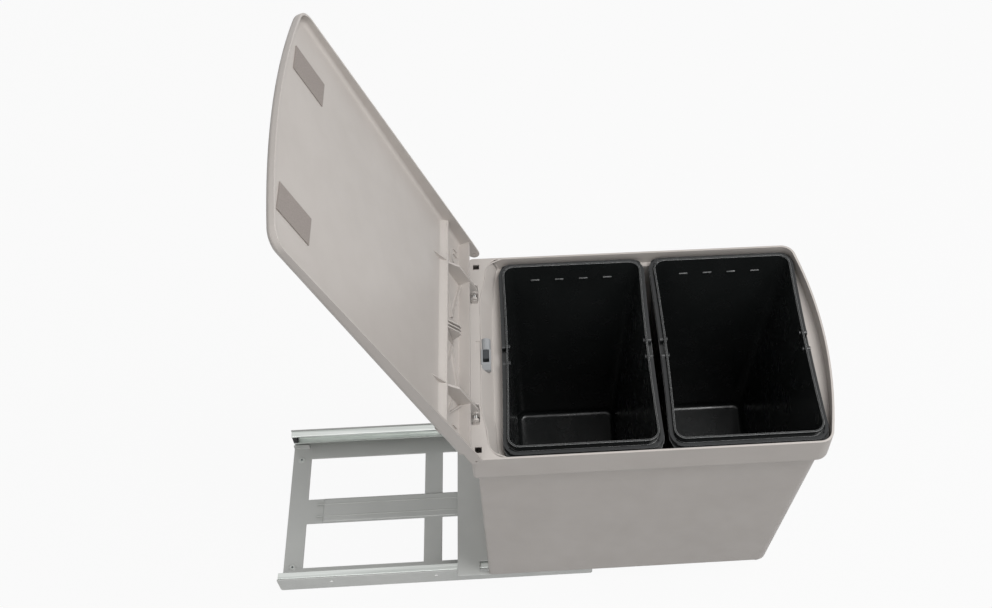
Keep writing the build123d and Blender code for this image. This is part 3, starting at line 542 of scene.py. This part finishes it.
FLOOR_SIZE = 9.0
FLOOR_DROP = 0.5 * MM
FLOOR_COLOUR = (0.35, 0.35, 0.35, 1)
FLOOR_WHITE = 0.94
AIR_WHITE = 0.96
AIR_LIGHT = 0.27
WHITE = (1, 1, 1, 1)


def seen_white(nodes, links):
    """1 for rays that show the background, straight or in a reflection, and 0 for light."""
    ray = nodes.new("ShaderNodeLightPath")
    seen = ray.outputs["Is Camera Ray"]
    for name in ("Is Glossy Ray", "Is Transmission Ray"):
        either = nodes.new("ShaderNodeMath")
        either.operation = "MAXIMUM"
        links.new(seen, either.inputs[0])
        links.new(ray.outputs[name], either.inputs[1])
        seen = either.outputs[0]
    return seen


def white_surround():
    """A pale floor that looks white to the camera and still keeps the object's soft shadow."""
    bed = bmesh.new()
    bmesh.ops.create_grid(bed, x_segments=1, y_segments=1, size=FLOOR_SIZE / 2)
    bmesh.ops.translate(bed, verts=bed.verts, vec=(0, 0, -FLOOR_DROP))
    mesh = bpy.data.meshes.new("studio_floor")
    bed.to_mesh(mesh)
    bed.free()
    floor = bpy.data.objects.new("studio_floor", mesh)
    bpy.context.scene.collection.objects.link(floor)

    material = bpy.data.materials.new("floor_paper")
    material.use_nodes = True
    nodes, links = material.node_tree.nodes, material.node_tree.links
    nodes["Principled BSDF"].inputs["Base Color"].default_value = FLOOR_COLOUR
    nodes["Principled BSDF"].inputs["Roughness"].default_value = 0.9
    glow = nodes.new("ShaderNodeEmission")
    amount = nodes.new("ShaderNodeMath")
    amount.operation = "MULTIPLY"
    amount.inputs[1].default_value = FLOOR_WHITE
    mix = nodes.new("ShaderNodeMixShader")
    links.new(seen_white(nodes, links), amount.inputs[0])
    links.new(amount.outputs[0], mix.inputs["Fac"])
    links.new(nodes["Principled BSDF"].outputs[0], mix.inputs[1])
    links.new(glow.outputs[0], mix.inputs[2])
    links.new(mix.outputs[0], nodes["Material Output"].inputs["Surface"])
    mesh.materials.append(material)


def world_light():
    """Dim even light all round, seen as white by the camera and in reflections."""
    world = bpy.data.worlds.new("studio_air")
    bpy.context.scene.world = world
    world.use_nodes = True
    nodes, links = world.node_tree.nodes, world.node_tree.links
    dim = nodes["Background"]
    dim.inputs["Color"].default_value = WHITE
    dim.inputs["Strength"].default_value = AIR_LIGHT
    white = nodes.new("ShaderNodeBackground")
    white.inputs["Color"].default_value = WHITE
    white.inputs["Strength"].default_value = AIR_WHITE
    mix = nodes.new("ShaderNodeMixShader")
    links.new(seen_white(nodes, links), mix.inputs["Fac"])
    links.new(dim.outputs[0], mix.inputs[1])
    links.new(white.outputs[0], mix.inputs[2])
    links.new(mix.outputs[0], nodes["World Output"].inputs["Surface"])


def soft_box(name, place, target, size, power):
    """A square studio lamp that faces a point of the object."""
    lamp = bpy.data.lights.new(name, "AREA")
    lamp.size = size
    lamp.energy = power
    holder = bpy.data.objects.new(name, lamp)
    bpy.context.scene.collection.objects.link(holder)
    holder.location = place
    holder.rotation_euler = (Vector(target) - Vector(place)).to_track_quat("-Z", "Y").to_euler()


# ---- camera, at the photograph's viewing angle ----

CAMERA_PLACE = (-0.830216, -0.155598, 1.593675)
CAMERA_RIGHT = (-0.064699, -0.997867, 0.008716)
CAMERA_UP = (0.808245, -0.047278, 0.586946)
SENSOR = 36.0
PHOTO_WIDTH = 992
FOCAL_PIXELS = 1160.2
CENTRE_SHIFT = (-88.8, 23.1)
NEAREST = 0.05


def photo_camera():
    """The camera at the place and in the direction that were fitted to the photograph."""
    data = bpy.data.cameras.new("photo_camera")
    data.sensor_width = SENSOR
    data.lens = FOCAL_PIXELS / PHOTO_WIDTH * SENSOR
    data.shift_x = CENTRE_SHIFT[0] / PHOTO_WIDTH
    data.shift_y = CENTRE_SHIFT[1] / PHOTO_WIDTH
    data.clip_start = NEAREST
    camera = bpy.data.objects.new("photo_camera", data)
    bpy.context.scene.collection.objects.link(camera)
    right, up = Vector(CAMERA_RIGHT), Vector(CAMERA_UP)
    back = right.cross(up)
    turn = Matrix((right, up, back)).transposed().to_4x4()
    camera.matrix_world = Matrix.Translation(CAMERA_PLACE) @ turn
    bpy.context.scene.camera = camera


dress_frame()
moulded_lid()
lid_ribs()
for node in ("tub", "catch_housing", "catch_slider", "carriage_plate", "base_frame"):
    take_over(node, welded(node))
for bin_name in ("bin_rear", "bin_front"):
    moulded_bin(bin_name)
    for side_name in ("left", "right"):
        moulded_handle(f"{bin_name}_handle_{side_name}", bin_name)
frame_details()
deck_edge()
white_surround()
world_light()
soft_box("key_lamp", (-0.35, -1.2, 2.55), target=(0, -0.25, 0.3), size=1.3, power=47)
soft_box("side_lamp", (-1.5, 0.05, 1.3), target=(0, 0.1, 0), size=1.0, power=8)
photo_camera()
bpy.context.scene.view_settings.view_transform = "Standard"
